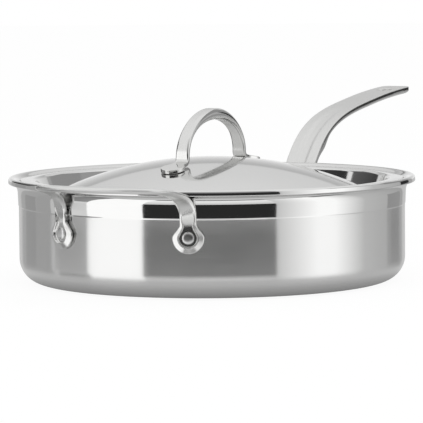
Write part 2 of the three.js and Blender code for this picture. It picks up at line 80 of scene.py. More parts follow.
# Lid: a spherical dome, a round-bottomed trough and a flat flange, pressed from one sheet
LID_SHEET = 1.0
LID_OVERLAP = 1.6
LID_RADIUS = PAN_INNER + LID_OVERLAP
LID_RISE = 13.5
LID_MARGIN = 20.0
LID_SEAT_GAP = 0.5
DOME_RADIUS = 285.0
DOME_CROWN = PAN_HEIGHT + LID_RISE
DOME_CENTRE = DOME_CROWN - DOME_RADIUS
TROUGH_RADIUS = 4.0
TROUGH_LEAN = math.radians(70)
FLANGE_CORNER = 3.0

# Rivets of the pan: flush inside, with a low domed head outside
RIVET_DROP = 33.5
RIVET_HEIGHT = PAN_HEIGHT - RIVET_DROP
RIVET_SHANK = 3.2
RIVET_FLUSH_DEPTH = 1.2
RIVET_HEAD_RADIUS = 4.4
RIVET_HEAD_RISE = 1.5
RIVET_HEAD_SQUARENESS = 3
RIVET_UNDERCUT = 0.1
RIVET_TUCK = 0.25

# Points of a rivet's flush end: radius, and distance outside the inner wall
RIVET_FLUSH_END = [(0.0, -0.4), (3.0, -0.33), (4.6, -0.22), (5.0, 0.1)]

# Rivets of the lid: a domed head below the sheet and an end set low in the foot
LID_RIVET_SHANK = 2.6
LID_RIVET_HEAD_RADIUS = 4.4
LID_RIVET_HEAD_RISE = 1.4
LID_RIVET_NECK = 0.2
LID_RIVET_SINK = 0.3

# Points of a lid rivet's upper end: radius and rise
LID_RIVET_END = [(LID_RIVET_SHANK, 0.0), (2.3, 0.16), (1.4, 0.24), (0.0, 0.26)]

# Long handle: a round flange on the wall, then a steep root that eases into a level grip
HANDLE_HALF = 12.6
HANDLE_EDGE = 2.4
HANDLE_EDGE_ROUND = 0.7
HANDLE_KEEL = 4.2
KEEL_SQUARENESS = 2.2
HANDLE_LIP_CLEARANCE = 2.6
HANDLE_START = LIP_RADIUS + HANDLE_LIP_CLEARANCE
HANDLE_ROOT_ANGLE = math.radians(55)
HANDLE_ROOT_PULL = 11.0
HANDLE_SWEEP_REACH = 122.0
HANDLE_SWEEP_RISE = 47.8
HANDLE_SWEEP_PULL = 43.0
HANDLE_GRIP_ANGLE = math.radians(7.4)
HANDLE_GRIP_PULL = 60.0
HANDLE_REACH = 193.0
HANDLE_RISE = 54.0
HANDLE_TIP_CORNER = 7.0
HANDLE_FLANGE_RADIUS = 20.0
HANDLE_FLANGE_THICK = 5.4
HANDLE_FLANGE_NECK = 30.0
HANDLE_FLANGE_ROUND = 2.4
FLANGE_BITE = 3.0
CHANNEL_DEPTH = 1.1
CHANNEL_SIDE = (2.0, 5.8)
CHANNEL_START = (-8.0, 4.0)
CHANNEL_END = (30.0, 84.0)
FINGER_STOP_REACH = 16.0
FINGER_STOP_DEPTH = 9.0
FINGER_STOP_LENGTH = 8.0
FINGER_STOP_HALF = 11.0
HANG_RADIUS = 6.0
HANG_INSET = 28.0
HANG_MOUTH_ROUND = 1.4
HANG_BACK_ROUND = 0.7
HANDLE_RIVET_SPREAD = 9.5
HANDLE_RIVET_RISE = 6.5
HANDLE_RIVET_DROP = 9.5
SPOT_FACE_DEPTH = 1.2
SPOT_FACE_SIDE = (4.5, 5.2)
HANDLE_POLISH = (0.2, 0.7)

# Helper loop: two round pads on the wall, joined by a strap that swings out to a grip bar
HELPER_SPREAD = math.radians(20.4)
HELPER_THICK = 4.0
HELPER_HALF = 5.8
HELPER_PAD_RADIUS = 11.2
HELPER_NECK = 9.5
HELPER_REACH = 34.0
HELPER_BAR_RISE = 2.0
HELPER_BAR_PULL = 35.0
HELPER_ARM_RISE = 14.0
HELPER_ARM_PULL = 10.0
HELPER_TURN = 34.0
SHOULDER_REACH = 10.0
SHOULDER_SPREAD = 47.5
SHOULDER_DROP = 2.7
SHOULDER_TOE = math.radians(9)
SHOULDER_PITCH = math.radians(10)
SHOULDER_PULL = 14.0
CORNER_PULL = 20.0

# The loop's relief: fades are measured from a pad's centre, the dish's side from the brim's inner edge
DISH_RADIUS = 6.9
DISH_DEPTH = 2.0
DISH_SIDE = (-0.2, 0.5)
DISH_FADE = (7.0, 22.0)
BRIM_LEAST = 1.4
BRIM_FADE = (0.0, 14.0)
BRIM_SLOPE = 0.25
BRIM_EDGE_DROP = 0.25
BRIM_EDGE_ROUND = 0.5
CROWN_WIDTH = 2.3
CROWN_POWER = 1.7
CROWN_FADE = (12.0, 34.0)
HELPER_BACK_ROUND = 2.0
HELPER_EDGE = 0.4
HELPER_POLISH_FADE = (12.0, 24.0)

# Lid handle: a strap bent to an arch that thickens towards its top, with a round foot at each end
STRAP_HALF = 5.2
FOOT_THICK = 3.0
FOOT_RADIUS = 9.0
FOOT_CENTRE = 61.0
FOOT_NECK = 9.0
FOOT_BEND = 4.0
ARCH_THICK = 8.2
ARCH_HALF_SPAN = 46.0
ARCH_HEIGHT = 36.0

# The lid handle's edges: fades are measured past the foot
FOOT_EDGE_DROP = 0.5
FOOT_TOP_ROUND = 0.6
FOOT_BACK_ROUND = 0.5
FOOT_POLISH_FADE = (0.0, 10.8)
ARCH_TOP_ROUND = 2.6
ARCH_BACK_ROUND = 2.2
ARCH_FADE = (0.0, 27.0)
ARCH_POLISH = (1.4, 2.4)

# Fineness of the meshes
RING_STEPS = 300
RIVET_STEPS = 64
LID_RIVET_STEPS = 48
CURVE_STEPS = 160
STRAIGHT_STATIONS = 40
CAP_STEPS = 30
NECK_REACH = 2.2
HOLE_PATCH = 10.5
HOLE_SIDE_STEPS = 24

# Rings round a hole, as shares of the way out to its patch's edge
HOLE_RINGS = [0, 0.015, 0.04, 0.08, 0.13, 0.2, 0.3, 0.45, 0.62, 0.78, 0.88, 0.94, 0.975, 1]

# Length of one unit of a strap's own coordinates
STRAP_UNIT = 100.0

Hole = namedtuple("Hole", "at radius reach half")


# Shapes

def mix(low, high, share):
    return low + (high - low) * share


def smooth(value, low, high):
    """Eases from 0 at low to 1 at high."""
    t = np.clip((np.asarray(value, float) - low) / (high - low), 0, 1)
    return t * t * (3 - 2 * t)


def rounded(distance, radius):
    """Rise of a rounded edge, 0 at the edge and 1 from one radius inwards."""
    t = np.clip(np.asarray(distance, float) / radius, 0, 1)
    return np.sqrt(np.maximum(1 - (1 - t) ** 2, 0))


def arc(centre, radii, start, end, steps):
    """Points along an arc; radii is one radius, or the two of an ellipse."""
    cx, cy = centre
    rx, ry = np.broadcast_to(radii, 2)
    angles = np.linspace(start, end, steps + 1)
    return [(cx + rx * math.cos(a), cy + ry * math.sin(a)) for a in angles]


def upright(points):
    return [(x, 0, z) for x, z in points]


def mirrored(parts, signs):
    """Stretches of a line, run backwards on the other side of a plane."""
    return [np.array(part, float)[::-1] * signs for part in parts[::-1]]


def bezier(points):
    p = np.array(points, float)
    n = len(p) - 1
    t = np.linspace(0, 1, CURVE_STEPS + 1)[:, None]
    return sum(math.comb(n, i) * (1 - t) ** (n - i) * t ** i * p[i] for i in range(n + 1))


class Route:
    """A line through space, measured along its length."""

    def __init__(self, parts):
        points = np.concatenate([np.array(part, float) for part in parts])
        keep = np.r_[True, np.linalg.norm(np.diff(points, axis=0), axis=1) > TINY]
        self.points = points[keep]
        steps = np.linalg.norm(np.diff(self.points, axis=0), axis=1)
        self.marks = np.r_[0, np.cumsum(steps)]
        self.length = self.marks[-1]
        self.ways = np.gradient(self.points, self.marks, axis=0)

    def at(self, s):
        """The point at a distance along the line, and the way it runs there."""
        point = np.stack([np.interp(s, self.marks, axis) for axis in self.points.T], -1)
        way = np.stack([np.interp(s, self.marks, axis) for axis in self.ways.T], -1)
        return point, way / np.linalg.norm(way, axis=-1, keepdims=True)


def finished(node, bm, materials, body):
    """Turns a mesh in millimetres into the piece that stands for a node."""
    bmesh.ops.remove_doubles(bm, verts=bm.verts, dist=WELD)
    for face in bm.faces:
        face.smooth = True
    mesh = bpy.data.meshes.new(node + "_form")
    bm.to_mesh(mesh)
    bm.free()
    mesh.transform(Matrix.Scale(MM, 4))
    for material in materials:
        mesh.materials.append(material)
    piece = bpy.data.objects.new(mesh.name, mesh)
    bpy.context.scene.collection.objects.link(piece)
    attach(piece, body)
    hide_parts(node)


def lathe(zones, steps=RING_STEPS):
    """A turned mesh; each zone of its outline has its own material and starts where the last one ends."""
    bm = bmesh.new()
    turns = np.linspace(0, 2 * math.pi, steps, endpoint=False)
    rings = []
    owners = []
    for index, points in enumerate(zones):
        for r, z in points[1 if rings else 0:]:
            spots = [(0, 0, z)] if r < TINY else [(r * math.cos(a), r * math.sin(a), z) for a in turns]
            rings.append([bm.verts.new(spot) for spot in spots])
            owners.append(index)
    for low, high, index in zip(rings, rings[1:], owners[1:]):
        for j in range(steps):
            i = (j + 1) % steps
            if len(low) == 1:
                corners = (low[0], high[i], high[j])
            elif len(high) == 1:
                corners = (low[j], low[i], high[0])
            else:
                corners = (low[j], low[i], high[i], high[j])
            bm.faces.new(corners).material_index = index
    return bm


class Strap:
    """A closed strap from its upper and lower sheets.

    surface(s, u) gives the upper points, the lower points, their polish and their sideways offset, at a
    distance along the strap and a share of its half width. A hole lies in a patch of its own, which
    reaches equally far before and behind it."""

    def __init__(self, stations, shares, surface, hole=None):
        self.surface = surface
        self.bm = bmesh.new()
        self.polish = self.bm.verts.layers.float.new("polish")
        uv = self.bm.loops.layers.uv.new("strap")
        self.places = {}
        spans = [stations]
        if hole:
            start, end = hole.at - hole.reach, hole.at + hole.reach
            spans = [np.r_[stations[stations < start], start], np.r_[end, stations[stations > end]]]
        for span in spans:
            upper, lower = self.sheets(*np.meshgrid(span, shares, indexing="ij"))
            self.skin(upper)
            self.skin(lower, flip=True)
            self.rim(upper[:, -1], lower[:, -1])
            self.rim(upper[:, 0], lower[:, 0], flip=True)
            if span is spans[0]:
                self.rim(upper[0], lower[0])
            if span is spans[-1]:
                self.rim(upper[-1], lower[-1], flip=True)
        if hole:
            self.patch(shares, hole)
        for face in self.bm.faces:
            for loop in face.loops:
                loop[uv].uv = self.places[loop.vert]

    def sheets(self, s, u):
        """The vertices of the upper and of the lower sheet."""
        upper, lower, shine, x = self.surface(s, u)
        made = []
        for points in (upper, lower):
            flat = []
            for p, polish, a, b in zip(points.reshape(-1, 3), shine.ravel(), s.ravel(), x.ravel()):
                vert = self.bm.verts.new(p)
                vert[self.polish] = polish
                self.places[vert] = (a / STRAP_UNIT, b / STRAP_UNIT)
                flat.append(vert)
            made.append(np.array(flat, dtype=object).reshape(s.shape))
        return made

    def skin(self, grid, flip=False):
        for i in range(grid.shape[0] - 1):
            for j in range(grid.shape[1] - 1):
                quad = [grid[i, j], grid[i + 1, j], grid[i + 1, j + 1], grid[i, j + 1]]
                self.bm.faces.new(quad[::-1] if flip else quad)

    def rim(self, high, low, flip=False):
        self.skin(np.stack([high, low], 1), flip)

    def patch(self, shares, hole):
        """Rings that go from a round hole out to the straight edges of its patch."""
        run = np.linspace(-1, 1, HOLE_SIDE_STEPS + 1)[1:-1]
        end = np.ones(len(shares))
        side = np.ones(len(run))
        edge_s = np.r_[-end, run, end, run[::-1]] * hole.reach
        edge_u = np.r_[shares, side, shares[::-1], -side]
        turn = np.arctan2(edge_u * hole.half, edge_s)
        out = np.array(HOLE_RINGS)[:, None]
        ring_s = mix(hole.radius * np.cos(turn), edge_s, out)
        ring_u = mix(hole.radius * np.sin(turn) / hole.half, edge_u, out)
        loop = np.r_[np.arange(len(turn)), 0]
        upper, lower = self.sheets(hole.at + ring_s[:, loop], ring_u[:, loop])
        self.skin(upper, flip=True)
        self.skin(lower)
        self.rim(upper[0], lower[0], flip=True)
        right = slice(len(shares) - 1, len(shares) + len(run) + 1)
        left = slice(-len(run) - 2, None)
        for edge in (right, left):
            self.rim(upper[-1][edge], lower[-1][edge])


def pad_half(q, pad, strap_half, neck):
    """Half width of a strap that ends in a round pad, q measured from the pad's end."""
    cap = np.sqrt(np.maximum(pad ** 2 - np.minimum(q - pad, 0) ** 2, 0))
    return np.where(q < pad, cap, mix(pad, strap_half, smooth(q, pad, pad + neck)))


def pad_edge(q, x, half, pad):
    """How far a point lies inside the outline of such a strap."""
    return np.where(q < pad, pad - np.hypot(pad - q, x), half - np.abs(x))


def round_end(radius, steps):
    """Distances from a round end, close together where it is steep."""
    return radius * (1 - np.cos(np.linspace(0, QUARTER, steps + 1)))


def shares_across(steps):
    """Shares of the half width, close together at both edges."""
    return np.sin(np.linspace(-QUARTER, QUARTER, steps + 1))


def both_ends(length, pad, fine, coarse):
    """Stations of a strap with a pad at each end: fine round the pads, coarse between them."""
    head = np.r_[round_end(pad, CAP_STEPS), np.arange(pad, NECK_REACH * pad, fine)[1:]]
    between = length - 2 * head[-1]
    middle = np.linspace(head[-1], length - head[-1], int(between / coarse) + 2)[1:-1]
    return np.r_[head, middle, (length - head)[::-1]]


def laid(point, side, face, x, up, down):
    """Upper and lower points of a strap from its place, its sideways offset and its two depths."""
    base = point + side * x[..., None]
    return base + face * up[..., None], base + face * down[..., None]


# The vessel's outline

def vessel_outside():
    """The outer outline, stretch by stretch, from the edge of the base to the top of the lip."""
    corner = arc((PAN_OUTER - PAN_CORNER, PAN_CORNER), PAN_CORNER, -QUARTER, 0, steps=22)
    band_bottom = PAN_HEIGHT - BAND_DEPTH
    step = [(PAN_OUTER + BAND_STEP * smooth(t, 0, 1), band_bottom + BAND_STEP_RISE * t)
            for t in np.linspace(0, 1, num=9)]
    wall = [corner[-1], *[(PAN_OUTER, z) for z in WALL_RINGS], step[0]]
    band_top = PAN_HEIGHT - LIP_EDGE - LIP_FILLET
    flare_out = PAN_OUTER + BAND_STEP + BAND_FLARE
    fillet = arc((LIP_CREST, band_top), (LIP_CREST - flare_out, LIP_FILLET), math.pi, QUARTER, steps=12)
    band_middle = (PAN_OUTER + BAND_STEP + BAND_FLARE / 2, (step[-1][1] + band_top) / 2)
    band = [step[-1], band_middle, fillet[0]]
    low_r, low_z = LIP_RADIUS - LIP_LOW_ROUND, PAN_HEIGHT - LIP_EDGE + LIP_LOW_ROUND
    top_z = PAN_HEIGHT - LIP_TOP_ROUND
    step_in = LIP_TOP_ROUND - LIP_LOW_ROUND + (top_z - low_z) * math.sin(LIP_LEAN)
    top_r = low_r - step_in / math.cos(LIP_LEAN)
    lip_low = arc((low_r, low_z), LIP_LOW_ROUND, -QUARTER, LIP_LEAN, steps=8)
    lip_top = arc((top_r, top_z), LIP_TOP_ROUND, LIP_LEAN, QUARTER, steps=12)
    return corner, wall, step, band, fillet, lip_low, lip_top


CORNER, WALL, STEP, BAND, FILLET, LIP_LOW, LIP_TOP = vessel_outside()
OUTLINE = np.array(CORNER + WALL[1:] + STEP[1:] + BAND[1:] + FILLET[1:] + LIP_LOW + LIP_TOP[:1])


def clear_of_vessel(points):
    """Moves points that would lie inside the wall out to it, with the seat gap."""
    x, y, z = np.moveaxis(points, -1, 0)
    wall = np.interp(z, OUTLINE[:, 1], OUTLINE[:, 0]) + SEAT_GAP
    wall = np.where((z > PAN_HEIGHT) | (z < 0), 0, wall)
    scale = np.maximum(wall / np.maximum(np.hypot(x, y), TINY), 1)
    return np.stack([x * scale, y * scale, z], -1)


# Materials: colours, the two noises of the grain, and how far the grain changes the roughness
DULL = (0.6, 0.6, 0.595)
STEEL = (0.65, 0.65, 0.645)
CLEAN = (0.7, 0.7, 0.695)
WARM = (0.7, 0.7, 0.692)
WARM_BRIGHT = (0.72, 0.72, 0.712)
BRIGHT = (0.72, 0.72, 0.715)
LINE_SHARE = 0.6
LINE_DETAIL = 4.0
CLOUD_SCALE = 22
CLOUD_DETAIL = 3.0
NOISE_ROUGHNESS = 0.6
NOISE_LOW = 0.3
NOISE_HIGH = 0.7
ROUGH_VARY = 0.12
POLISH_VARY = 0.15
RELIEF_HEIGHT = 0.00005
AXIS_REACH = 1e-4

# Of a mix node's sockets, the first of the two inputs and the output that belong to each kind of data
MIX_SOCKETS = {"FLOAT": (2, 0), "RGBA": (6, 2)}


def feed(tree, socket, value):
    """Links an output to a socket, or sets the socket to a plain value."""
    if isinstance(value, bpy.types.NodeSocket):
        tree.links.new(value, socket)
    else:
        socket.default_value = value


def math_node(tree, operation, *values):
    node = tree.nodes.new("ShaderNodeMath")
    node.operation = operation
    for socket, value in zip(node.inputs, values):
        feed(tree, socket, value)
    return node.outputs[0]


def mix_node(tree, kind, share, low, high):
    node = tree.nodes.new("ShaderNodeMix")
    node.data_type = kind
    first, result = MIX_SOCKETS[kind]
    for index, value in ((0, share), (first, low), (first + 1, high)):
        feed(tree, node.inputs[index], value)
    return node.outputs[result]


def turned(fine, turns, flat=False):
    """A grain of lines round the vertical axis, one above another or, if flat, one outside another."""
    def grain(tree):
        place = tree.nodes.new("ShaderNodeTexCoord").outputs["Object"]
        split = tree.nodes.new("ShaderNodeSeparateXYZ")
        tree.links.new(place, split.inputs[0])
        x, y, z = split.outputs
        squares = [math_node(tree, "MULTIPLY", part, part) for part in (x, y)]
        reach = math_node(tree, "SQRT", math_node(tree, "ADD", *squares))
        away = math_node(tree, "MAXIMUM", reach, AXIS_REACH)
        join = tree.nodes.new("ShaderNodeCombineXYZ")
        for axis, part in (("X", x), ("Y", y)):
            around = math_node(tree, "DIVIDE", part, away)
            tree.links.new(math_node(tree, "MULTIPLY", around, turns), join.inputs[axis])
        tree.links.new(math_node(tree, "MULTIPLY", reach if flat else z, fine), join.inputs["Z"])
        return join.outputs[0]
    return grain


def stretched(tree, place, scale):
    node = tree.nodes.new("ShaderNodeMapping")
    node.inputs["Scale"].default_value = scale
    tree.links.new(place, node.inputs["Vector"])
    return node.outputs[0]


def lengthwise(along, across):
    """A grain that runs along a strap."""
    def grain(tree):
        place = tree.nodes.new("ShaderNodeUVMap")
        place.uv_map = "strap"
        return stretched(tree, place.outputs[0], (along, across, 1))
    return grain


def even(scale):
    """A grain that runs no way in particular."""
    def grain(tree):
        place = tree.nodes.new("ShaderNodeTexCoord").outputs["Object"]
        return stretched(tree, place, (scale, scale, scale))
    return grain


def noise(tree, vector, detail):
    node = tree.nodes.new("ShaderNodeTexNoise")
    node.inputs["Scale"].default_value = 1.0
    node.inputs["Detail"].default_value = detail
    node.inputs["Roughness"].default_value = NOISE_ROUGHNESS
    tree.links.new(vector, node.inputs["Vector"])
    return node.outputs["Fac"]


def spread(tree, value, low, high):
    """Spreads a noise between two values."""
    node = tree.nodes.new("ShaderNodeMapRange")
    node.inputs["From Min"].default_value = NOISE_LOW
    node.inputs["From Max"].default_value = NOISE_HIGH
    node.inputs["To Min"].default_value = low
    node.inputs["To Max"].default_value = high
    tree.links.new(value, node.inputs["Value"])
    return node.outputs["Result"]


def steel(name, tone, rough, grain, polished=None, aniso=0.0, turn=0.0, bump=0.0, vary=0.03):
    """Steel with a grain in its colour, roughness and surface; polished is how rough its polished
    stretches are."""
    material = bpy.data.materials.new(name)
    material.use_nodes = True
    tree = material.node_tree
    shader = tree.nodes["Principled BSDF"]
    shader.inputs["Metallic"].default_value = 1.0
    shader.inputs["Anisotropic"].default_value = aniso
    shader.inputs["Anisotropic Rotation"].default_value = turn
    lines = noise(tree, grain(tree), LINE_DETAIL)
    cloud = noise(tree, even(CLOUD_SCALE)(tree), CLOUD_DETAIL)
    both = math_node(tree, "ADD", math_node(tree, "MULTIPLY", lines, LINE_SHARE),
                     math_node(tree, "MULTIPLY", cloud, 1 - LINE_SHARE))
    dark = (*[part * (1 - vary) for part in tone], 1)
    light = (*[part * (1 + vary) for part in tone], 1)
    colour = mix_node(tree, "RGBA", spread(tree, both, 0, 1), dark, light)
    tree.links.new(colour, shader.inputs["Base Color"])
    worn = spread(tree, both, rough * (1 - ROUGH_VARY), rough * (1 + ROUGH_VARY))
    if polished is not None:
        shine = tree.nodes.new("ShaderNodeAttribute")
        shine.attribute_name = "polish"
        clear = spread(tree, both, polished * (1 - POLISH_VARY), polished * (1 + POLISH_VARY))
        worn = mix_node(tree, "FLOAT", shine.outputs["Fac"], worn, clear)
    tree.links.new(worn, shader.inputs["Roughness"])
    if bump:
        relief = tree.nodes.new("ShaderNodeBump")
        relief.inputs["Strength"].default_value = bump
        relief.inputs["Distance"].default_value = RELIEF_HEIGHT
        tree.links.new(lines, relief.inputs["Height"])
        tree.links.new(relief.outputs["Normal"], shader.inputs["Normal"])
    return material


wall_steel = steel("wall_brushed", BRIGHT, rough=0.2, grain=turned(fine=2600, turns=5),
                   aniso=1.0, turn=0.25, bump=0.05)
base_steel = steel("base_brushed", DULL, rough=0.34, grain=turned(fine=1800, turns=5, flat=True), bump=0.1)
band_steel = steel("band_polished", BRIGHT, rough=0.06, grain=turned(fine=1200, turns=4), vary=0.015)
inner_steel = steel("inner_brushed", STEEL, rough=0.27, grain=turned(fine=2200, turns=5), bump=0.08)
dome_steel = steel("dome_polished", CLEAN, rough=0.085, grain=turned(fine=1600, turns=5, flat=True),
                   bump=0.01, vary=0.015)
trough_steel = steel("trough_mirror", BRIGHT, rough=0.07, grain=turned(fine=900, turns=4, flat=True),
                     vary=0.015)
under_steel = steel("lid_under_satin", STEEL, rough=0.3, grain=turned(fine=1600, turns=5, flat=True),
                    bump=0.06)
handle_steel = steel("handle_satin", WARM, rough=0.37, grain=lengthwise(along=6, across=260),
                     polished=0.12, bump=0.06)
helper_steel = steel("helper_satin", WARM_BRIGHT, rough=0.3, grain=lengthwise(along=6, across=220),
                     polished=0.21, bump=0.05)
arch_steel = steel("arch_satin", WARM, rough=0.2, grain=lengthwise(along=6, across=220), polished=0.07)
rivet_steel = steel("rivet_satin", BRIGHT, rough=0.3, grain=even(scale=900), vary=0.02)


# Pan body

def pan_body():
    base = [(r, 0) for r in [0, *BASE_RINGS]] + CORNER[:1]
    flare_start = LIP_CREST - LIP_CREST_FLAT
    flare = arc((flare_start, PAN_HEIGHT - LIP_FLARE), (flare_start - PAN_INNER, LIP_FLARE),
                QUARTER, math.pi, steps=16)
    inner_corner = PAN_CORNER - PAN_WALL
    floor = arc((PAN_INNER - inner_corner, PAN_CORNER), inner_corner, 0, -QUARTER, steps=20)
    inner_wall = [flare[-1], *[(PAN_INNER, z) for z in INNER_RINGS]]
    bm = lathe([
        base,
        CORNER + WALL[1:],
        STEP + BAND[1:] + FILLET[1:] + LIP_LOW + LIP_TOP + flare,
        inner_wall + floor + [(r, PAN_WALL) for r in [*BASE_RINGS[::-1], 0]],
    ])
    finished("pan_body", bm, [base_steel, wall_steel, band_steel, inner_steel], "pan")


# Long handle

def handle_route():
    """From the low end of the flange up the wall, out over the lip and along the grip to the tip."""
    low = np.array([PAN_OUTER, 0, RIVET_HEIGHT - HANDLE_FLANGE_RADIUS])
    high = np.array([PAN_OUTER, 0, RIVET_HEIGHT + HANDLE_FLANGE_RADIUS / 2])
    lip = np.array([HANDLE_START, 0, PAN_HEIGHT - LIP_EDGE / 2])
    grip = lip + (HANDLE_SWEEP_REACH, 0, HANDLE_SWEEP_RISE)
    tip = lip + (HANDLE_REACH, 0, HANDLE_RISE)
    root_way, grip_way = [np.array([math.cos(angle), 0, math.sin(angle)])
                          for angle in (HANDLE_ROOT_ANGLE, HANDLE_GRIP_ANGLE)]
    tip_pull = (HANDLE_REACH - HANDLE_SWEEP_REACH) / 2
    return Route([
        np.linspace(low, high, STRAIGHT_STATIONS),
        bezier([high, high + (0, 0, HANDLE_ROOT_PULL), lip - root_way * HANDLE_ROOT_PULL, lip]),
        bezier([lip, lip + root_way * HANDLE_SWEEP_PULL, grip - grip_way * HANDLE_GRIP_PULL, grip]),
        bezier([grip, grip + grip_way * tip_pull, tip]),
    ])


def handle_outline(s, u, from_tip):
    """A point's sideways offset and how far it lies inside the outline, which has a round-cornered tip."""
    inset = np.clip(HANDLE_TIP_CORNER - from_tip, 0, HANDLE_TIP_CORNER)
    half = pad_half(s, HANDLE_FLANGE_RADIUS, HANDLE_HALF, HANDLE_FLANGE_NECK)
    half = half - HANDLE_TIP_CORNER + np.sqrt(HANDLE_TIP_CORNER ** 2 - inset ** 2)
    x = half * u
    past_corner = np.maximum(np.abs(x) - HANDLE_HALF + HANDLE_TIP_CORNER, 0)
    edge = pad_edge(s, x, half, HANDLE_FLANGE_RADIUS)
    edge = np.where(from_tip < HANDLE_TIP_CORNER, HANDLE_TIP_CORNER - np.hypot(past_corner, inset), edge)
    return x, edge


def long_handle():
    route = handle_route()
    hole = Hole(at=route.length - HANG_INSET, radius=HANG_RADIUS, reach=HOLE_PATCH, half=HANDLE_HALF)
    aside = HANDLE_RIVET_SPREAD * (PAN_OUTER + HANDLE_FLANGE_THICK) / PAN_OUTER
    upper_rivets = HANDLE_FLANGE_RADIUS + HANDLE_RIVET_RISE
    lower_rivet = HANDLE_FLANGE_RADIUS - HANDLE_RIVET_DROP
    rivets = [(upper_rivets, aside), (upper_rivets, -aside), (lower_rivet, 0)]

    def surface(s, u):
        point, along = route.at(s)
        face = np.stack([-along[..., 2], 0 * s, along[..., 0]], -1)
        side = np.cross(face, along)
        from_tip = route.length - s
        x, edge = handle_outline(s, u, from_tip)
        rim = np.hypot(s - hole.at, x) - HANG_RADIUS
        reach = point[..., 0] - HANDLE_START
        gripped = smooth(s, HANDLE_FLANGE_RADIUS, 2 * HANDLE_FLANGE_RADIUS + HANDLE_FLANGE_NECK)
        flange_round = rounded(edge, HANDLE_FLANGE_ROUND) * (1 - gripped)

        channel = CHANNEL_DEPTH * (1 - smooth(np.abs(x), *CHANNEL_SIDE))
        channel = channel * smooth(reach, *CHANNEL_START) * (1 - smooth(reach, *CHANNEL_END))
        up = FLANGE_BITE * flange_round - channel
        up = up - HANDLE_EDGE_ROUND * (1 - rounded(edge, HANDLE_EDGE_ROUND))
        up = up - HANG_MOUTH_ROUND * (1 - rounded(rim, HANG_MOUTH_ROUND))

        keel = np.maximum(1 - np.abs(u) ** KEEL_SQUARENESS, 0) ** (1 / KEEL_SQUARENESS)
        keel = HANDLE_KEEL * keel * rounded(from_tip, HANDLE_TIP_CORNER)
        stop_along = (reach - FINGER_STOP_REACH) / FINGER_STOP_LENGTH
        stop = FINGER_STOP_DEPTH * np.exp(-stop_along ** 2 - (x / FINGER_STOP_HALF) ** 2)
        flange = (HANDLE_FLANGE_THICK - HANDLE_EDGE) * flange_round
        down = -HANDLE_EDGE - flange - keel * gripped - stop
        for rivet_s, rivet_x in rivets:
            spot = 1 - smooth(np.hypot(s - rivet_s, x - rivet_x), *SPOT_FACE_SIDE)
            down = down + (SPOT_FACE_DEPTH - RIVET_CLEARANCE) * spot
        down = down + HANG_BACK_ROUND * (1 - rounded(rim, HANG_BACK_ROUND))

        upper, lower = laid(point, side, face, x, up, down)
        return clear_of_vessel(upper), clear_of_vessel(lower), 1 - smooth(edge, *HANDLE_POLISH), x

    neck_end = 78.0
    end_length = 7.5
    stations = np.r_[
        round_end(HANDLE_FLANGE_RADIUS, steps=23),
        np.arange(HANDLE_FLANGE_RADIUS, neck_end, step=0.9)[1:],
        np.linspace(neck_end, route.length - end_length, num=120)[1:],
        route.length - round_end(end_length, steps=13)[-2::-1],
    ]
    handle = Strap(stations, shares_across(steps=56), surface, hole)
    finished("long_handle", handle.bm, [handle_steel], "pan")


# Helper loop

def helper_route():
    """From the low end of one pad up the wall, out to the grip bar and back to the other pad."""
    middle = PAN_OUTER + SEAT_GAP + HELPER_THICK / 2
    out, aside = middle * math.cos(HELPER_SPREAD), middle * math.sin(HELPER_SPREAD)
    pad_end = np.array([-out, aside, RIVET_HEIGHT - HELPER_PAD_RADIUS])
    arm = np.array([-out, aside, RIVET_HEIGHT + HELPER_ARM_RISE])
    bar_height = PAN_HEIGHT + HELPER_BAR_RISE
    bar = np.array([-LIP_RADIUS - HELPER_REACH, 0, bar_height])
    shoulder = np.array([-LIP_RADIUS - SHOULDER_REACH, SHOULDER_SPREAD, bar_height - SHOULDER_DROP])
    level = math.cos(SHOULDER_PITCH)
    heading = np.array([-level * math.cos(SHOULDER_TOE), -level * math.sin(SHOULDER_TOE),
                        math.sin(SHOULDER_PITCH)])
    half = [
        np.linspace(pad_end, arm, STRAIGHT_STATIONS),
        bezier([arm, arm + (0, 0, HELPER_ARM_PULL), shoulder - heading * SHOULDER_PULL, shoulder]),
        bezier([shoulder, shoulder + heading * CORNER_PULL, bar + (0, HELPER_BAR_PULL, 0), bar]),
    ]
    return Route(half + mirrored(half, (1, -1, 1)))


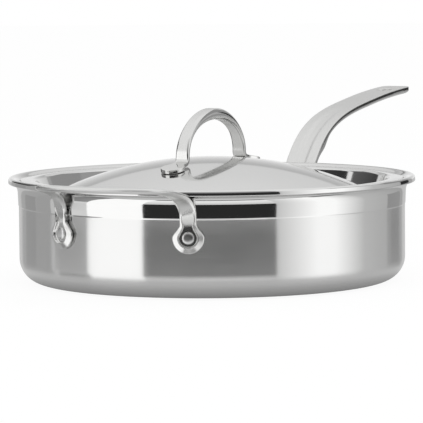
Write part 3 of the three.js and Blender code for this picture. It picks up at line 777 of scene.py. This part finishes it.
def helper_handle():
    route = helper_route()
    down_way = np.array([0, 0, -1.0])

    def surface(s, u):
        point, along = route.at(s)
        q = np.minimum(s, route.length - s)
        past = q - HELPER_PAD_RADIUS
        turn = smooth(past, HELPER_ARM_RISE, HELPER_ARM_RISE + HELPER_TURN)[..., None]
        outward = np.stack([np.full(s.shape, -math.cos(HELPER_SPREAD)),
                            np.sign(point[..., 1]) * math.sin(HELPER_SPREAD), 0 * s], -1)
        face = mix(outward, down_way, turn)
        face = face - along * np.sum(face * along, -1, keepdims=True)
        face = face / np.linalg.norm(face, axis=-1, keepdims=True)
        side = np.cross(face, along)
        half = pad_half(q, HELPER_PAD_RADIUS, HELPER_HALF, HELPER_NECK)
        x = half * u
        edge = pad_edge(q, x, half, HELPER_PAD_RADIUS)

        brim = mix(HELPER_PAD_RADIUS - DISH_RADIUS, BRIM_LEAST, smooth(past, *BRIM_FADE))
        dish = DISH_DEPTH * smooth(edge - brim, *DISH_SIDE) * (1 - smooth(past, *DISH_FADE))
        padded = 1 + BRIM_SLOPE * np.minimum(edge - brim, 0)
        padded = padded - BRIM_EDGE_DROP * (1 - rounded(edge, BRIM_EDGE_ROUND))
        crowned = 1 - (1 - np.clip(edge / CROWN_WIDTH, 0, 1)) ** CROWN_POWER
        up = HELPER_THICK / 2 * mix(padded, crowned, smooth(past, *CROWN_FADE)) - dish
        down = np.minimum(-HELPER_THICK / 2 * rounded(edge, HELPER_BACK_ROUND), up - HELPER_EDGE)

        upper, lower = laid(point, side, face, x, up, down)
        shine = 1 - smooth(past, *HELPER_POLISH_FADE)
        return clear_of_vessel(upper), clear_of_vessel(lower), shine, x

    stations = both_ends(route.length, HELPER_PAD_RADIUS, fine=0.45, coarse=1.6)
    handle = Strap(stations, shares_across(steps=72), surface)
    finished("helper_handle", handle.bm, [helper_steel], "pan")


# Lid

def lid_face(depth):
    """Dome, trough and flange corner at a depth below the upper face, and the flange's top height."""
    seat = (LIP_CREST - LID_RADIUS) / (LIP_CREST - PAN_INNER)
    seat_height = PAN_HEIGHT - LIP_FLARE + LIP_FLARE * math.sqrt(1 - seat ** 2)
    flange_top = seat_height + LID_SEAT_GAP + LID_SHEET
    slope = math.asin((LID_RADIUS - LID_MARGIN) / DOME_RADIUS)
    away = DOME_RADIUS + TROUGH_RADIUS
    trough_r, trough_z = away * math.sin(slope), DOME_CENTRE + away * math.cos(slope)
    lean_r, lean_z = math.cos(TROUGH_LEAN + QUARTER), math.sin(TROUGH_LEAN + QUARTER)
    reach = trough_r * lean_r + trough_z * lean_z - TROUGH_RADIUS - FLANGE_CORNER
    corner_z = flange_top - FLANGE_CORNER
    corner_r = (reach - corner_z * lean_z) / lean_r
    dome = arc((0, DOME_CENTRE), DOME_RADIUS - depth, QUARTER, QUARTER - slope, steps=40)
    trough = arc((trough_r, trough_z), TROUGH_RADIUS + depth, -QUARTER - slope, TROUGH_LEAN - QUARTER,
                 steps=16)
    corner = arc((corner_r, corner_z), FLANGE_CORNER - depth, TROUGH_LEAN + QUARTER, QUARTER, steps=12)
    return dome, trough, corner, flange_top


def lid():
    dome, trough, corner, top = lid_face(0)
    dome_low, trough_low, corner_low, _ = lid_face(LID_SHEET)
    half = LID_SHEET / 2
    rim = arc((LID_RADIUS - half, top - half), half, -QUARTER, QUARTER, steps=8)
    bm = lathe([
        dome_low + trough_low[1:] + corner_low + rim,
        rim[-1:] + corner[::-1] + trough[::-1],
        dome[::-1],
    ])
    finished("lid", bm, [under_steel, trough_steel, dome_steel], "cover")


# Lid handle

def arch_route():
    """Along one foot on the dome, up over the arch and along the other foot."""
    radius = DOME_RADIUS + SEAT_GAP + FOOT_THICK / 2
    end = math.acos((FOOT_CENTRE + FOOT_RADIUS) / radius)
    bend = math.acos((ARCH_HALF_SPAN + FOOT_BEND) / radius)
    corner = DOME_CENTRE + math.sqrt(radius ** 2 - ARCH_HALF_SPAN ** 2)
    spring = corner + FOOT_BEND
    rise = DOME_CROWN + ARCH_HEIGHT - ARCH_THICK / 2 - spring
    foot = upright(arc((0, DOME_CENTRE), radius, end, bend, steps=80))
    turn = bezier([foot[-1], (ARCH_HALF_SPAN, 0, corner), (ARCH_HALF_SPAN, 0, spring)])
    arch = upright(arc((0, spring), (ARCH_HALF_SPAN, rise), 0, math.pi, steps=240))
    return Route([foot, turn, arch] + mirrored([foot, turn], (-1, 1, 1)))


def lid_handle():
    route = arch_route()

    def surface(s, u):
        point, along = route.at(s)
        face = np.stack([along[..., 2], 0 * s, -along[..., 0]], -1)
        side = np.cross(face, along)
        q = np.minimum(s, route.length - s)
        past = q - 2 * FOOT_RADIUS
        half = pad_half(q, FOOT_RADIUS, STRAP_HALF, FOOT_NECK)
        x = half * u
        edge = pad_edge(q, x, half, FOOT_RADIUS)

        top = route.length / 2 - 2 * FOOT_RADIUS
        depth = mix(FOOT_THICK, ARCH_THICK, smooth(past, FOOT_BEND, top)) / 2
        arched = smooth(past, *ARCH_FADE)
        fall = mix(FOOT_EDGE_DROP, depth, arched)
        up = depth - fall * (1 - rounded(edge, mix(FOOT_TOP_ROUND, ARCH_TOP_ROUND, arched)))
        down = fall * (1 - rounded(edge, mix(FOOT_BACK_ROUND, ARCH_BACK_ROUND, arched))) - depth

        upper, lower = laid(point, side, face, x, up, down)
        shine = 1 - np.minimum(smooth(edge, *ARCH_POLISH), smooth(past, *FOOT_POLISH_FADE))
        return upper, lower, shine, x

    stations = both_ends(route.length, FOOT_RADIUS, fine=0.6, coarse=1.3)
    handle = Strap(stations, shares_across(steps=40), surface)
    finished("lid_handle", handle.bm, [arch_steel], "cover")


# Rivets

def rivet(node, outline, steps, place, body):
    """A turned rivet, moved to its place."""
    bm = lathe([outline], steps)
    bmesh.ops.transform(bm, matrix=place, verts=bm.verts)
    finished(node, bm, [rivet_steel], body)


def wall_rivet(node, angle, rise, seat):
    """A rivet through the wall, with its head on a seat that lies this far from the pan's axis."""
    flush = [(r, PAN_INNER + out) for r, out in RIVET_FLUSH_END]
    under = seat - RIVET_TUCK
    shank = [(RIVET_SHANK, PAN_INNER + RIVET_FLUSH_DEPTH), (RIVET_SHANK, under),
             (RIVET_HEAD_RADIUS - RIVET_UNDERCUT, under)]
    power = RIVET_HEAD_SQUARENESS
    head = [(RIVET_HEAD_RADIUS * t, seat + RIVET_HEAD_RISE * (1 - t ** power) ** (1 / power))
            for t in np.cos(np.linspace(0, QUARTER, num=16))]
    place = (Matrix.Translation((0, 0, RIVET_HEIGHT + rise)) @ Matrix.Rotation(angle, 4, "Z")
             @ Matrix.Rotation(QUARTER, 4, "Y"))
    rivet(node, flush + shank + head, RIVET_STEPS, place, "pan")


def lid_rivet(node, sign):
    under = DOME_RADIUS - LID_SHEET
    top = DOME_RADIUS + SEAT_GAP + FOOT_THICK - LID_RIVET_SINK
    head = arc((0, under), (LID_RIVET_HEAD_RADIUS, LID_RIVET_HEAD_RISE), -QUARTER, 0, steps=10)
    end = [(r, top + out) for r, out in LID_RIVET_END]
    tilt = math.asin(FOOT_CENTRE / DOME_RADIUS)
    place = Matrix.Translation((0, 0, DOME_CENTRE)) @ Matrix.Rotation(sign * tilt, 4, "Y")
    rivet(node, head + [(LID_RIVET_SHANK, under + LID_RIVET_NECK)] + end, LID_RIVET_STEPS, place, "cover")


pan_body()
long_handle()
helper_handle()
lid()
lid_handle()
handle_seat = PAN_OUTER + SEAT_GAP + HANDLE_FLANGE_THICK - SPOT_FACE_DEPTH + RIVET_CLEARANCE
helper_seat = PAN_OUTER + SEAT_GAP + HELPER_THICK - DISH_DEPTH + RIVET_CLEARANCE
swing = math.asin(HANDLE_RIVET_SPREAD / PAN_OUTER)
wall_rivet("long_handle_rivet_left", swing, HANDLE_RIVET_RISE, handle_seat)
wall_rivet("long_handle_rivet_right", -swing, HANDLE_RIVET_RISE, handle_seat)
wall_rivet("long_handle_rivet_lower", 0, -HANDLE_RIVET_DROP, handle_seat)
wall_rivet("helper_rivet_left", math.pi - HELPER_SPREAD, 0, helper_seat)
wall_rivet("helper_rivet_right", math.pi + HELPER_SPREAD, 0, helper_seat)
lid_rivet("lid_handle_rivet_front", -1)
lid_rivet("lid_handle_rivet_back", 1)


# Camera: fitted to the rims and the base in the photo, with its focal length and its shift in pixels
PHOTO_WIDTH = 423
FOCAL_LENGTH = 2982.4
SIDE_SHIFT = -0.4715
SENSOR_WIDTH = 36.0
VIEW_TURN = math.radians(27)
VIEW_PITCH = 0.0838
VIEW_ROLL = -0.008
VIEW_DISTANCE = 2.2
VIEW_HEIGHT = 0.2352
CLIP_END = 20.0

AHEAD = Vector((math.cos(VIEW_TURN), math.sin(VIEW_TURN), 0))
ASIDE = Vector((math.sin(VIEW_TURN), -math.cos(VIEW_TURN), 0))
UPWARD = Vector((0, 0, 1))


def add_camera():
    forward = AHEAD * math.cos(VIEW_PITCH) - UPWARD * math.sin(VIEW_PITCH)
    top = AHEAD * math.sin(VIEW_PITCH) + UPWARD * math.cos(VIEW_PITCH)
    right = ASIDE * math.cos(VIEW_ROLL) + top * math.sin(VIEW_ROLL)
    above = top * math.cos(VIEW_ROLL) - ASIDE * math.sin(VIEW_ROLL)
    data = bpy.data.cameras.new("camera")
    data.sensor_width = SENSOR_WIDTH
    data.lens = FOCAL_LENGTH / PHOTO_WIDTH * SENSOR_WIDTH
    data.shift_x = SIDE_SHIFT / PHOTO_WIDTH
    data.clip_end = CLIP_END
    camera = bpy.data.objects.new("camera", data)
    bpy.context.scene.collection.objects.link(camera)
    turn = Matrix((right, above, -forward)).transposed().to_4x4()
    camera.matrix_world = Matrix.Translation(UPWARD * VIEW_HEIGHT - AHEAD * VIEW_DISTANCE) @ turn
    bpy.context.scene.camera = camera


add_camera()


# Stage: a white floor for the camera, a table top painted grey and darker round the pan's base as a painted
# shadow, and studio cards that only the steel mirrors
FLOOR_RADIUS = 9.0
FLOOR_HEIGHT = -0.0003
TABLE_HEIGHT = -0.0006
# Rings of the table top's painted shadow: radius, and level from darkest at the pan's base to the grey of
# the shaded floor beyond
TABLE_PAINTED_SHADOW = [(0.12, 0.0), (0.135, 0.5), (0.15, 1.0), (0.166, 1.0)]
DISC_STEPS = 72
CARD_RADIUS = 1.5
CARD_HEIGHT = 0.06
CARD_FACE = 3
CARD_LEAST_FACES = 2

# Where neighbouring cards meet: degrees beside the camera, positive to its right, and degrees above level
PANEL_LEFT = -39.0
WHITE_LEFT = -75.0
STRIP_RIGHT = -101.6
STRIP_LEFT = -105.6
GREY_LEFT = -122.0
SIDE_LEFT = -150.0
PANEL_RIGHT = 36.1
RISE_RIGHT = 62.0
WHITE_RIGHT = 74.0
FALL_RIGHT = 97.0
SIDE_RIGHT = 150.0
BACK_END = 210.0
PANEL_LOW = -14
PANEL_TOP = 11
LEFT_TOP = 18
RIGHT_TOP = 20
SIDE_LOW = -45
WHITE_LOW = -50
LOW_EDGE = -53
HIGH_TOP = 60


def glow(name, low, high=None, diffuse=None):
    """A plain emission; with two levels it runs from one to the other by the mesh's own level."""
    material = bpy.data.materials.new(name)
    material.use_nodes = True
    tree = material.node_tree
    tree.nodes.clear()
    out = tree.nodes.new("ShaderNodeOutputMaterial")
    light = tree.nodes.new("ShaderNodeEmission")
    light.inputs["Strength"].default_value = 1.0
    if high is None:
        light.inputs["Color"].default_value = (low, low, low, 1)
    else:
        place = tree.nodes.new("ShaderNodeAttribute")
        place.attribute_name = "level"
        ramp = tree.nodes.new("ShaderNodeMapRange")
        ramp.inputs["To Min"].default_value = low
        ramp.inputs["To Max"].default_value = high
        tree.links.new(place.outputs["Fac"], ramp.inputs["Value"])
        tree.links.new(ramp.outputs["Result"], light.inputs["Color"])
    surface = light.outputs[0]
    if diffuse is not None:
        matt = tree.nodes.new("ShaderNodeBsdfDiffuse")
        matt.inputs["Color"].default_value = (diffuse, diffuse, diffuse, 1)
        both = tree.nodes.new("ShaderNodeAddShader")
        tree.links.new(surface, both.inputs[0])
        tree.links.new(matt.outputs[0], both.inputs[1])
        surface = both.outputs[0]
    tree.links.new(surface, out.inputs["Surface"])
    return material


def staged(name, verts, faces, level, material, camera_sees):
    """A piece of the stage with a level at each vertex, seen by the camera or else by the steel alone."""
    mesh = bpy.data.meshes.new(name)
    mesh.from_pydata(verts, [], faces)
    mesh.materials.append(material)
    mesh.attributes.new("level", "FLOAT", "POINT").data.foreach_set("value", level)
    thing = bpy.data.objects.new(name, mesh)
    bpy.context.scene.collection.objects.link(thing)
    thing.visible_camera = camera_sees
    thing.visible_glossy = not camera_sees
    return thing


def disc(name, rings, z, material, camera_sees):
    """A round sheet; rings are its radii, each with its level."""
    verts = [(0, 0, z)]
    level = [rings[0][1]]
    for r, value in rings:
        for j in range(DISC_STEPS):
            a = 2 * math.pi * j / DISC_STEPS
            verts.append((r * math.cos(a), r * math.sin(a), z))
            level.append(value)
    faces = []
    for j in range(DISC_STEPS):
        i = (j + 1) % DISC_STEPS
        faces.append((0, 1 + j, 1 + i))
        for k in range(len(rings) - 1):
            a, b = 1 + k * DISC_STEPS, 1 + (k + 1) * DISC_STEPS
            faces.append((a + j, b + j, b + i, a + i))
    staged(name, verts, faces, level, material, camera_sees)


def card(name, turn, rise, level, end_level=None, upward=False, nearer=0.0):
    """A curved card between two turns beside the camera and two rises above level, in degrees.

    Its brightness may run to an end level, sideways or upward; a nearer card covers those behind it."""
    (start, end), (low, high) = turn, rise
    wide = max(int((end - start) / CARD_FACE), CARD_LEAST_FACES)
    tall = max(int((high - low) / CARD_FACE), CARD_LEAST_FACES)
    verts = []
    levels = []
    for k in range(wide + 1):
        angle = math.radians(mix(start, end, k / wide))
        spot = ASIDE * math.sin(angle) - AHEAD * math.cos(angle)
        for r in range(tall + 1):
            lift = math.radians(mix(low, high, r / tall))
            ray = spot * math.cos(lift) + UPWARD * math.sin(lift)
            verts.append(ray * (CARD_RADIUS - nearer) + UPWARD * CARD_HEIGHT)
            levels.append(r / tall if upward else k / wide)
    row = tall + 1
    faces = [(row * k + r, row * k + row + r, row * k + row + r + 1, row * k + r + 1)
             for k in range(wide) for r in range(tall)]
    made = staged(name, verts, faces, levels, glow(name, level, end_level), camera_sees=False)
    made.visible_shadow = False
    made.visible_diffuse = False


floor_white = glow("floor_white", low=0.93, diffuse=0.1)
# The table top's grey, darker towards the pan's base, is a painted contact shadow that only the steel
# mirrors
table_painted_shadow = glow("table_painted_shadow", low=0.12, high=0.6)
disc("floor", [(FLOOR_RADIUS, 0.0)], FLOOR_HEIGHT, floor_white, camera_sees=True)
disc("table_top", TABLE_PAINTED_SHADOW, TABLE_HEIGHT, table_painted_shadow, camera_sees=False)

# In front of the pan, round the camera: a dark panel, with paler cards below and above it
PANEL = (PANEL_LEFT, PANEL_RIGHT)
card("front_dark", turn=PANEL, rise=(PANEL_LOW, PANEL_TOP), level=0.03)
card("front_below", turn=PANEL, rise=(SIDE_LOW, PANEL_LOW), level=1.2, end_level=0.75, upward=True)
card("front_above", turn=PANEL, rise=(PANEL_TOP, HIGH_TOP), level=0.18, end_level=0.9, upward=True)

# To the left: a white card, greys with a bright strip and band, and dark cards for the lid's trough
LEFT_RISE = (SIDE_LOW, LEFT_TOP)
card("left_white", turn=(WHITE_LEFT, PANEL_LEFT), rise=(WHITE_LOW, LEFT_TOP), level=1.35, nearer=0.02)
card("left_grey_near", turn=(STRIP_RIGHT, WHITE_LEFT), rise=LEFT_RISE, level=0.25, end_level=0.36)
card("left_band", turn=(STRIP_RIGHT, WHITE_LEFT), rise=(PANEL_LOW, -7), level=0.85, nearer=0.03)
card("left_strip", turn=(STRIP_LEFT, STRIP_RIGHT), rise=LEFT_RISE, level=0.68)
card("left_grey_mid", turn=(GREY_LEFT, STRIP_LEFT), rise=LEFT_RISE, level=0.44)
card("left_grey_far", turn=(SIDE_LEFT, GREY_LEFT), rise=LEFT_RISE, level=0.46)
card("left_dark", turn=(-140.0, -123.0), rise=(-10, 3), level=0.38, nearer=0.05)
card("left_above", turn=(-115.0, -79.0), rise=(14, 34), level=0.02, end_level=0.06, upward=True,
     nearer=0.05)
card("left_above_far", turn=(-153.0, -120.0), rise=(7, 32), level=0.03, end_level=0.2, upward=True,
     nearer=0.05)

# To the right: a card that brightens to white and falls to grey, dark patches, and greys for the trough
RIGHT_RISE = (SIDE_LOW, RIGHT_TOP)
WHITE_RISE = (WHITE_LOW, RIGHT_TOP)
card("right_rise", turn=(PANEL_RIGHT, RISE_RIGHT), rise=WHITE_RISE, level=0.73, end_level=1.32, nearer=0.02)
card("right_white", turn=(RISE_RIGHT, WHITE_RIGHT), rise=WHITE_RISE, level=1.32, nearer=0.02)
card("right_fall", turn=(WHITE_RIGHT, FALL_RIGHT), rise=RIGHT_RISE, level=1.32, end_level=0.66)
card("right_grey", turn=(FALL_RIGHT, SIDE_RIGHT), rise=RIGHT_RISE, level=0.64, end_level=0.42)
card("right_dark", turn=(122.0, 143.0), rise=(-10, -1), level=0.36, nearer=0.05)
card("right_edge_dark", turn=(127.0, 141.0), rise=(-1, 10), level=0.03, nearer=0.05)
card("right_above", turn=(70.0, 110.0), rise=(24, 34), level=0.4)
card("right_above_far", turn=(110.0, 145.0), rise=(10, 32), level=0.34, nearer=0.05)

# Behind the pan, and all round below it
BACK = (SIDE_RIGHT, BACK_END)
ALL_ROUND = (-180.0, 180.0)
card("back_wall", turn=BACK, rise=(0, RIGHT_TOP), level=0.95, end_level=0.5, upward=True)
card("back_above", turn=(130.0, 230.0), rise=(RIGHT_TOP, HIGH_TOP), level=0.76, end_level=0.98, upward=True)
card("low_dark", turn=ALL_ROUND, rise=(LOW_EDGE, SIDE_LOW), level=0.22)
card("low_grey", turn=ALL_ROUND, rise=(-90, LOW_EDGE), level=0.75)
card("back_below", turn=BACK, rise=(SIDE_LOW, 0), level=0.6)


# Light: a white world where it is seen or mirrored, dimmer as a light, and one soft lamp overhead
WORLD_SEEN = 1.0
WORLD_LIGHT = 0.6
LAMP_SIZE = 1.2
LAMP_POWER = 4.5
LAMP_PLACE = (-0.2, -0.3, 1.8)


def add_world():
    world = bpy.data.worlds.new("studio")
    bpy.context.scene.world = world
    world.use_nodes = True
    tree = world.node_tree
    path = tree.nodes.new("ShaderNodeLightPath")
    seen = math_node(tree, "ADD", path.outputs["Is Camera Ray"], path.outputs["Is Glossy Ray"])
    seen = math_node(tree, "ADD", seen, path.outputs["Is Transmission Ray"])
    seen = math_node(tree, "MINIMUM", seen, 1.0)
    strength = math_node(tree, "MULTIPLY", seen, WORLD_SEEN - WORLD_LIGHT)
    strength = math_node(tree, "ADD", strength, WORLD_LIGHT)
    background = tree.nodes["Background"]
    background.inputs["Color"].default_value = (1, 1, 1, 1)
    tree.links.new(strength, background.inputs["Strength"])


def add_lamp():
    data = bpy.data.lights.new("overhead", "AREA")
    data.shape = "SQUARE"
    data.size = LAMP_SIZE
    data.energy = LAMP_POWER
    lamp = bpy.data.objects.new("overhead", data)
    bpy.context.scene.collection.objects.link(lamp)
    lamp.location = LAMP_PLACE
    lamp.visible_glossy = False


add_world()
add_lamp()
bpy.context.scene.view_settings.view_transform = "Standard"
